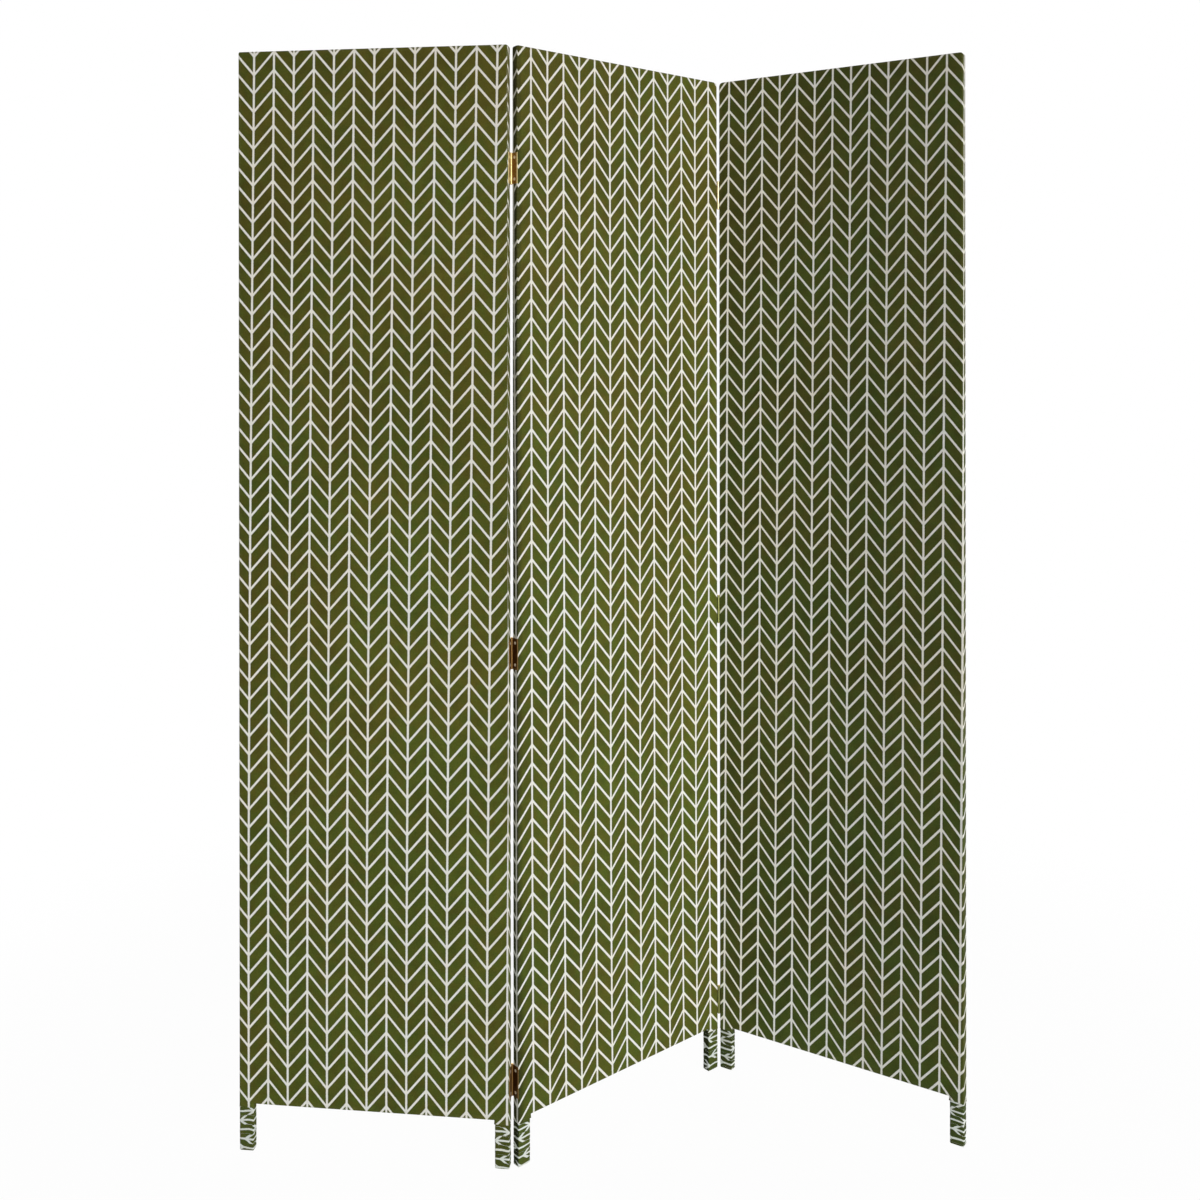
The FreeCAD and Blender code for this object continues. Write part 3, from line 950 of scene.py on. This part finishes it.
# %% The hem
BACK_INSET = 0.007
HEM_WIDE = 0.006
HEM_REST = 0.00008
HEM_ROLL = 0.00062
HEM_ROLL_WIDE = 0.0009
HEM_DROP = 0.00022
HEM_DROP_FROM = 0.0047
HEM_DROP_WIDE = 0.001
HEM_STEPS = (HEM_WIDE, 0.0055, 0.005, 0.0045, 0.003, 0.0014, 0.0008, 0.0004, 0.00012, 0)
hem_edge = BACK_INSET + HEM_WIDE


def hem_height(inward):
    """Height of the hem over the turned-in cloth, at a distance from its outer edge."""
    rolled = HEM_ROLL * math.sqrt(max(0, 1 - (1 - min(inward / HEM_ROLL_WIDE, 1)) ** 2))
    return HEM_REST + rolled - HEM_DROP * ease((inward - HEM_DROP_FROM) / HEM_DROP_WIDE)


def outline_ring(columns, rows):
    """Points round a grid with the direction in which each is pushed out."""
    left, right, low, top = columns[0], columns[-1], rows[0], rows[-1]
    sides = (
        [(x, low, 0, -1) for x in columns],
        [(right, z, 1, 0) for z in rows],
        [(x, top, 0, 1) for x in reversed(columns)],
        [(left, z, -1, 0) for z in reversed(rows)],
    )
    corners = ((right, low, -90), (right, top, 0), (left, top, 90), (left, low, 180))
    ring = []
    for side, (x, z, start) in zip(sides, corners):
        ring += side
        for turn in steps(start, start + 90, 6):
            ring.append((x, z, math.cos(math.radians(turn)), math.sin(math.radians(turn))))
    return ring + ring[:1]


print("hem stands", round(1000 * hem_height(HEM_WIDE / 2), 2), "mm high")

# %% Back cloths
BACK_ROWS = 180
BACK_THICK = 0.0004
BACK_UNEVEN = 0.00005
BACK_HOLLOW = 0.0003
BACK_MAP_ACROSS = 0.011
BACK_MAP_UP = 0.009


def back_cover(panel):
    """The hemmed cloth on the back of a panel."""
    cloth = start_cloth()
    columns = steps(hem_edge, PANEL_WIDE - hem_edge, FIELD_COLUMNS)
    rows = steps(COVER_LOW + hem_edge, COVER_TOP - hem_edge, BACK_ROWS)

    def entry(x, z, inward):
        uneven = BACK_UNEVEN * wander(x * 30, z * 30, HEADING[panel] + 9)
        away = ease((min(x, PANEL_WIDE - x) - hem_edge) / 0.05)
        hollow = BACK_HOLLOW * away * (0.5 + 0.5 * wander(x * 4, z * 3, 20))
        lift = hem_height(inward) + uneven * ease((inward - 0.001) / 0.003) - hollow
        on_print = print_place(panel, x + BACK_MAP_ACROSS, z + BACK_MAP_UP)
        return Vector((x, BACK_FACE + lift, z)), on_print, 1 - ease(inward / 0.004)

    lay_grid(cloth, [[entry(x, z, HEM_WIDE) for x in columns] for z in rows])
    ring = outline_ring(columns, rows)
    border = []
    for inward in HEM_STEPS:
        out = HEM_WIDE - inward
        border.append([entry(x + dx * out, z + dz * out, inward) for x, z, dx, dz in ring])
    lay_grid(cloth, border[::-1])
    return finish_cloth(panel + "_back_cloth", cloth, panel, BACK_THICK, (0, 1, 0))


back_cloths = {panel: back_cover(panel) for panel in HEADING}
tell(back_cloths.values())

# %% [markdown]
# The wrapped legs
#
# Each leg is wrapped in its own strip of canvas. The strip runs crosswise, so the print lies on its side,
# and it is pushed together like a sleeve. Between one line of the print and the next, about half of the
# cloth vanishes in a fold, so the lines lie only some 15 mm apart and the slanting ones are cut short. The
# map therefore jumps on at every fold, a little sideways too, and the sheet has a shallow valley there. The
# strip goes once round the leg and laps over itself on the back, and its lower end is folded in under the
# foot. A simulated sleeve would crease well, but its lines would fall anywhere. With a formula every leg has
# its own height for the first line and its own distance between the lines, as in the photograph. In the map
# the strips lie forty rows of chevrons below the panels, where the canvas has the strips' own ink.

# %% Path of a leg strip
LEG_CORNER = 0.0022
LEG_SHARPEST = 0.0004
CORNER_POINTS = 6
SIDE_POINTS = 9
FOOT_ROUND = 0.0026
FOOT_CLEAR = 0.0001
FOOT_FOLD = (0.0066, 0.0055, 0.004, FOOT_ROUND)
STRIP_TOP = 0.08


def leg_outline(inset):
    """Points round a leg, from one end of its back, with the direction outward."""
    corner = max(LEG_CORNER - inset, LEG_SHARPEST)
    hx, hy = LEG_WIDE / 2 - inset - corner, BACK_FACE - inset - corner
    points = []
    for cx, cy, start in ((hx, hy, 90), (hx, -hy, 0), (-hx, -hy, -90), (-hx, hy, -180)):
        for turn in steps(start, start - 90, CORNER_POINTS - 1):
            way = Vector((math.cos(math.radians(turn)), math.sin(math.radians(turn))))
            points.append((Vector((cx, cy)) + way * corner, way))
    finer = []
    for k, (point, way) in enumerate(points):
        finer.append((point, way))
        if (k + 1) % CORNER_POINTS == 0:
            after, after_way = points[(k + 1) % len(points)]
            for share in steps(0, 1, SIDE_POINTS + 1)[1:-1]:
                finer.append((point.lerp(after, share), way.lerp(after_way, share).normalized()))
    return finer[-SIDE_POINTS:] + finer[:-SIDE_POINTS]


def strip_rows():
    """Heights and insets of the strip, from under the foot up to where the front cloth covers it."""
    rows = [(FOOT_CLEAR, inset) for inset in FOOT_FOLD]
    for turn in steps(0, 90, 5)[1:]:
        angle = math.radians(turn)
        rows.append((FOOT_CLEAR + FOOT_ROUND * (1 - math.cos(angle)), FOOT_ROUND * (1 - math.sin(angle))))
    return rows + [(z, 0) for z in steps(FOOT_ROUND, STRIP_TOP, 90)[1:]]


print("leg strip:", len(leg_outline(0)), "points round,", len(strip_rows()), "rows")

# %% Creases of a leg strip
TUCK = 0.0003
HEM_TUCK = 0.00045
LINE_BEND = 0.0022
CREASE_BEND = 0.0008


def strip_fit(z):
    """How far the strip lies inside the leg's outline at a height, and its freedom to crease, 0 to 1."""
    tuck = TUCK + HEM_TUCK * ease((z - HEM_HEIGHT + 0.002) / 0.0025)
    loose = ease((z - 0.001) / 0.006) * (1 - ease((z - HEM_HEIGHT + 0.0095) / 0.007))
    return tuck, loose


def gathers(turn, z, seed):
    """Unevenness of a gathered strip: its creases, its fine creases and how far a line is bent."""
    round_x, round_y = math.cos(turn), math.sin(turn)
    lift = z * 95 + 0.8 * wander(round_x, round_y, z * 30)
    crease = wander(round_x * 0.9 + seed, round_y * 0.9, lift)
    fine = wander(round_x * 2.2, round_y * 2.2 + seed, z * 210)
    bend = LINE_BEND * wander(round_x * 0.8, round_y * 0.8 + seed, z * 24) + CREASE_BEND * crease
    return crease, fine, bend


print("strip at mid height, inside by and free:", shown(strip_fit(HEM_HEIGHT / 2)))

# %% Leg strips
LEG_LINES = {
    "left": {"left": (0.005, 0.015), "right": (0.0035, 0.014)},
    "middle": {"left": (0.002, 0.015), "right": (0.0115, 0.016)},
    "right": {"left": (0.0105, 0.0134), "right": (0.011, 0.015)},
}
LEG_SEED = {"left": 3.1, "right": 8.6}
STRIP_THICK = 0.00045
STRIP_EASE = 0.8
STRIP_COLUMN = 6
LEG_ROWS = 40
FOLD_SLIP = 0.0113
LAP_POINTS = 8
LAP_RISE = 14
LAP_LIFT = 0.00055
CREASE_HIGH = 0.00034
FINE_HIGH = 0.0001
VALLEY_DEEP = 0.00016
VALLEY_WIDE = 0.0013
FOOT_RUB = 0.012


def leg_wrap(panel, side):
    """A gathered strip of canvas round one leg."""
    cloth = start_cloth()
    seed = HEADING[panel] * 0.37 + LEG_SEED[side]
    first, apart = LEG_LINES[panel][side]
    start = 0.006 * wander(seed, 2, 5) - 0.011
    rows = []
    for z, inset in strip_rows():
        ring = leg_outline(inset)
        count = len(ring)
        tuck, loose = strip_fit(z)
        row = []
        length = 0
        for k in range(count + LAP_POINTS):
            point, way = ring[k % count]
            if k:
                length += (point - ring[(k - 1) % count][0]).length
            lap = LAP_LIFT * ease((k - count + LAP_RISE) / (LAP_RISE - 1))
            crease, fine, bend = gathers(2 * math.pi * k / count, z, seed)
            line = round((z + bend - first) / apart)
            beside = z + bend - first - line * apart
            valley = math.exp(-((apart / 2 - abs(beside)) / VALLEY_WIDE) ** 2)
            bulge = (CREASE_HIGH * crease + FINE_HIGH * fine - VALLEY_DEEP * valley) * loose
            place = point + way * (lap + bulge - tuck)
            along = length * STRIP_EASE + start + line * FOLD_SLIP
            on_strip = ((line + STRIP_COLUMN) * PRINT_COLUMN + beside, along - LEG_ROWS * PRINT_ROW)
            row.append((Vector((LEG_CENTRE[side] + place.x, place.y, z)), on_strip, 1 - ease(z / FOOT_RUB)))
        rows.append(row[::-1])
    lay_grid(cloth, rows)
    return finish_cloth(panel + "_leg_cloth_" + side, cloth, panel, STRIP_THICK)


leg_cloths = {}
for panel in HEADING:
    leg_cloths[panel] = {side: leg_wrap(panel, side) for side in LEG_CENTRE}
    tell(leg_cloths[panel].values())

# %% [markdown]
# Sewing
#
# The hem of the back cloth is sewn down by hand with running stitches, and so is the lap of each leg wrap.
# Hundreds of equal stitches along a path are a job for Geometry Nodes: the path becomes a curve, is divided
# into even lengths, and a small rounded stitch is set on every point and turned along the path. A fixed seed
# gives each stitch a slightly different length and thickness.

# %% Thread material
thread, thread_tree, thread_shader = new_finish("sewing_thread")
thread_place = add_node(thread_tree, "ShaderNodeTexCoord").outputs["Object"]
thread_patches = mottle(thread_tree, thread_place, 900)
thread_colour = tint(thread_tree, thread_patches, paint(196, 192, 160), paint(222, 219, 196))
thread_rough = spread(thread_tree, thread_patches, 0.3, 0.7, 0.6, 0.85)
thread_looks = {"Base Color": thread_colour, "Roughness": thread_rough, "Sheen Weight": 0.15}
feed(thread_tree, thread_shader, thread_looks)
thread_twist = mottle(thread_tree, stretched(thread_tree, thread_place, (3000, 3000, 5200)), 1, 1)
relief(thread_tree, thread_shader, thread_twist, 0.0001, 0.6)
print("thread nodes:", len(thread_tree.nodes))

# %% Stitch tree
STITCH_INPUTS = {
    "Path": "Geometry", "Pitch": "Float", "Length": "Float", "Thickness": "Float", "Seed": "Int",
    "Thread": "Material",
}


def stitch_tree():
    """Geometry Nodes that set stitches along the edges of a path."""
    tree = bpy.data.node_groups.new("running_stitches", "GeometryNodeTree")
    for name, kind in STITCH_INPUTS.items():
        tree.interface.new_socket(name, in_out="INPUT", socket_type="NodeSocket" + kind)
    tree.interface.new_socket("Stitches", in_out="OUTPUT", socket_type="NodeSocketGeometry")
    start = add_node(tree, "NodeGroupInput").outputs
    curve = add_node(tree, "GeometryNodeMeshToCurve", {0: start["Path"]}).outputs[0]
    path = {"Curve": curve, "Length": start["Pitch"]}
    points = add_node(tree, "GeometryNodeCurveToPoints", path, mode="LENGTH").outputs
    stitch = add_node(tree, "GeometryNodeMeshUVSphere", {"Segments": 8, "Rings": 6, "Radius": 0.5})
    sides = {0: start["Thickness"], 1: start["Thickness"], 2: start["Length"]}
    size = add_node(tree, "ShaderNodeCombineXYZ", sides).outputs[0]
    limits = {0: (0.92, 0.92, 0.86), 1: (1.0, 1.0, 1.08), "Seed": start["Seed"]}
    vary = add_node(tree, "FunctionNodeRandomValue", limits, data_type="FLOAT_VECTOR").outputs[0]
    varied = add_node(tree, "ShaderNodeVectorMath", {0: size, 1: vary}, operation="MULTIPLY").outputs[0]
    setting = {"Points": points["Points"], "Instance": stitch.outputs["Mesh"]}
    setting.update({"Rotation": points["Rotation"], "Scale": varied})
    copies = add_node(tree, "GeometryNodeInstanceOnPoints", setting).outputs[0]
    real = add_node(tree, "GeometryNodeRealizeInstances", {0: copies}).outputs[0]
    smooth = add_node(tree, "GeometryNodeSetShadeSmooth", {0: real}).outputs[0]
    finish = {"Geometry": smooth, "Material": start["Thread"]}
    sewn = add_node(tree, "GeometryNodeSetMaterial", finish).outputs[0]
    add_node(tree, "NodeGroupOutput", {"Stitches": sewn})
    return tree


sewing = stitch_tree()
sewing_input = {item.name: item.identifier for item in sewing.interface.items_tree if item.in_out == "INPUT"}
print("stitch nodes:", len(sewing.nodes))

# %% Stitches on the hems and laps
STITCH_PITCH = 0.0075
STITCH_LENGTH = 0.0046
STITCH_THICK = 0.00052
STITCH_SINK = 0.00002
SEAM_OUT = 0.0034
LAP_SEAM = 0.0042
LAP_SEAM_UP = 0.0002
LAP_SEAM_LOW = 0.009
LAP_SEAM_TOP = 0.062
SAME_PLACE = 1e-5


def stitch_paths():
    """Points and edges of every sewn line on a panel: round the back hem and down each lap."""
    columns = steps(hem_edge, PANEL_WIDE - hem_edge, 20)
    rows = steps(COVER_LOW + hem_edge, COVER_TOP - hem_edge, 60)
    height = BACK_FACE + hem_height(HEM_WIDE - SEAM_OUT) - STITCH_SINK
    places = []
    for x, z, dx, dz in outline_ring(columns, rows):
        place = Vector((x + dx * SEAM_OUT, height, z + dz * SEAM_OUT))
        if not places or (place - places[-1]).length > SAME_PLACE:
            places.append(place)
    if (places[0] - places[-1]).length < SAME_PLACE:
        places.pop()
    links = [(k, (k + 1) % len(places)) for k in range(len(places))]
    for centre in LEG_CENTRE.values():
        begin = len(places)
        for z in steps(LAP_SEAM_LOW, LAP_SEAM_TOP, 12):
            places.append(Vector((centre + LAP_SEAM, BACK_FACE + LAP_SEAM_UP, z)))
        links += [(k, k + 1) for k in range(begin, len(places) - 1)]
    return places, links


def sew(panel, seed):
    """The stitches of one panel as a plain mesh."""
    mesh = bpy.data.meshes.new(panel + "_stitches")
    places, links = stitch_paths()
    mesh.from_pydata(places, links, [])
    mesh.transform(standing(panel))
    piece = add_object(panel + "_stitches", mesh)
    step = piece.modifiers.new("sewing", "NODES")
    step.node_group = sewing
    sizes = {"Pitch": STITCH_PITCH, "Length": STITCH_LENGTH, "Thickness": STITCH_THICK}
    for name, value in {**sizes, "Seed": seed, "Thread": thread}.items():
        step[sewing_input[name]] = value
    return baked(piece)


stitches = {panel: sew(panel, seed) for seed, panel in enumerate(HEADING)}
tell(stitches.values())

# %% [markdown]
# Brass
#
# The hinges are pressed from sheet brass. The flat of a leaf, which lies against its panel and faces into
# the dark gap, is brown, partly as tarnish and partly as painted shade, and the knuckles and thin edges,
# which hands and cloth rub, are brighter. So a leaf's finish looks at the direction of each face: a face
# square to the panel's edge is dull, and all others are polished. The top hinge on the left is yellow, and
# the others are brown and olive, partly as tarnish and partly as painted reflection of their dark gaps and
# the olive cloth.
# Tarnish comes from two sizes of noise, and fine lines of polishing from noise drawn out along the height of
# the hinge. One plain metal for all of them would look new.


# %% Brass materials
def brass(name, bright, dull, tarnish, rough, heading=None, bare=1.0):
    """Aged brass with painted shade on leaf flats; tarnish is the share of dull metal and heading that of
    the panel a leaf lies against.
    """
    finish, tree, shader = new_finish(name)
    coordinates = add_node(tree, "ShaderNodeTexCoord")
    place = coordinates.outputs["Object"]
    clouds = mottle(tree, place, 210, 4, 0.6)
    specks = mottle(tree, place, 1500)
    stains = maths(tree, "ADD", clouds, maths(tree, "MULTIPLY", specks, 0.3))
    aged = spread(tree, stains, 0.9 - tarnish, 1.05 - tarnish / 2, 0, 1)
    # the flats of a leaf face into the dark gap between panels: their brown is tarnish and painted shade
    if heading is not None:
        square = maths(tree, "ABSOLUTE", facing(tree, coordinates, heading))
        leaf_flat_in_shade = spread(tree, square, 0.96, 0.99, 0, 1)
        stained_and_shaded = maths(tree, "MULTIPLY", leaf_flat_in_shade, spread(tree, aged, 0, 1, 0.7, 1))
        aged = maths(tree, "MAXIMUM", maths(tree, "MULTIPLY", aged, 0.3), stained_and_shaded)
    polish = mottle(tree, stretched(tree, place, (5000, 5000, 160)), 1)
    worn = spread(tree, maths(tree, "ADD", aged, polish), 0.3, 1.7, rough, rough + 0.3)
    feed(tree, shader, {"Base Color": tint(tree, aged, bright, dull), "Metallic": bare, "Roughness": worn})
    relief(tree, shader, maths(tree, "ADD", polish, specks), 0.00004, 0.5)
    return finish


# each hinge's paints are tarnish and painted reflection of its dark gap and the olive cloth round it
LEAF_TARNISH_AND_REFLECTION = {
    "left_hinge_top": (paint(246, 226, 160), paint(140, 102, 44)),
    "left_hinge_low": (paint(150, 116, 68), paint(96, 66, 32)),
    "right_hinge_top": (paint(240, 222, 176), paint(112, 82, 40)),
    "right_hinge_low": (paint(142, 146, 88), paint(88, 82, 44)),
}
leaf_brass = {}
for hinge, paints in LEAF_TARNISH_AND_REFLECTION.items():
    for panel in (hinge.split("_")[0], "middle"):
        leaf_brass[hinge, panel] = brass(hinge + "_brass_" + panel, *paints, 0.4, 0.24, HEADING[panel])
pin_brass = brass("drawn_pin_brass", paint(202, 170, 106), paint(120, 94, 58), 0.36, 0.2)
# painted highlight: the screw heads are painted pale and less metallic so they show as light dots
screw_brass = brass("screw_brass_painted_highlight", paint(250, 243, 224), paint(206, 188, 150), 0.16, 0.3, bare=0.4)
print("brasses:", len(leaf_brass), pin_brass.name, screw_brass.name)

# %% [markdown]
# Timber
#
# The frame is hidden by the cloth, but anyone who takes the model apart will see planed softwood. Grain is a
# set of bands that noise bends, long drawn along each stick. Such bands run through the whole stick, so its
# ends show them too, which a picture wrapped round it wouldn't. Upright sticks and rails have their own turn
# of the same pattern, because grain follows the length of a stick.


# %% Timber materials
def pale_wood(name, early, late, turn, ring_size):
    """Planed wood; turn lays the grain along the stick."""
    finish, tree, shader = new_finish(name)
    place = add_node(tree, "ShaderNodeTexCoord").outputs["Object"]
    along = stretched(tree, place, (1, 1, 0.06), turn)
    ring = maths(tree, "FRACT", maths(tree, "MULTIPLY", mottle(tree, along, 18, 3), ring_size))
    band = spread(tree, ring, 0.55, 1.0, 0, 1, True)
    fibre = mottle(tree, stretched(tree, along, (900, 900, 300)), 1)
    colour = tint(tree, band, early, late)
    colour = tint(tree, spread(tree, fibre, 0.4, 0.8, 0, 0.35), colour, late)
    feed(tree, shader, {"Base Color": colour, "Roughness": spread(tree, band, 0, 1, 0.7, 0.5)})
    relief(tree, shader, maths(tree, "ADD", band, fibre), 0.00008, 0.4)
    return finish


upright_pine = pale_wood("pine_stile", paint(219, 184, 134), paint(176, 124, 74), (0, 0, 0), 9)
rail_pine = {}
for panel, heading in HEADING.items():
    rail_turn = (math.radians(90), 0, math.radians(90 - heading))
    rail_paints = (paint(221, 187, 138), paint(178, 128, 78))
    rail_pine[panel] = pale_wood("pine_rail_" + panel, *rail_paints, rail_turn, 9)
beech = pale_wood("beech_dowel", paint(222, 190, 150), paint(186, 144, 104), (0, math.radians(90), 0), 14)
print("woods:", upright_pine.name, len(rail_pine), beech.name)

# %% [markdown]
# Dressing the CAD pieces
#
# Hinges, pins, screws and timber keep their CAD shapes and only change their finish. The covers and wraps of
# the CAD model are plain stand-ins, and the cloth made above takes their place. Every new piece rides on the
# body of its panel, so it follows when the screen folds.


# %% Finishes of CAD pieces
def finish_for(name):
    """The material for a CAD piece that stays in view."""
    if "screws" in name:
        return screw_brass
    if name.endswith("_pin"):
        return pin_brass
    if name.endswith("_leaf"):
        fold = name.split("_")[0]
        level = "top" if "hinge_top" in name else "low"
        panel = "middle" if name.endswith("_middle_leaf") else fold
        return leaf_brass[fold + "_hinge_" + level, panel]
    if name.endswith("_dowels"):
        return beech
    if name.endswith("_rail"):
        return rail_pine[name.split("_")[0]]
    return upright_pine


cloth_words = ("front_cover", "back_cover", "leg_wrap")
hard_pieces = [name for name in nodes if not any(word in name for word in cloth_words)]
for name in hard_pieces:
    for holder in nodes[name].material_slots:
        holder.material = finish_for(name)
print("CAD pieces with new finishes:", len(hard_pieces))


# %% Cloth on its bodies
def settle(piece, panel, *stood_for):
    """Lets a cloth piece ride on its panel and stand for CAD pieces."""
    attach(piece, panel + "_panel")
    if stood_for:
        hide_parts(*stood_for)


for panel in HEADING:
    settle(front_cloths[panel], panel, panel + "_panel_front_cover")
    settle(back_cloths[panel], panel, panel + "_panel_back_cover")
    for piece in corner_folds[panel]:
        settle(piece, panel)
    for side, piece in leg_cloths[panel].items():
        settle(piece, panel, panel + "_panel_leg_wrap_" + side)
    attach(stitches[panel], panel + "_panel")
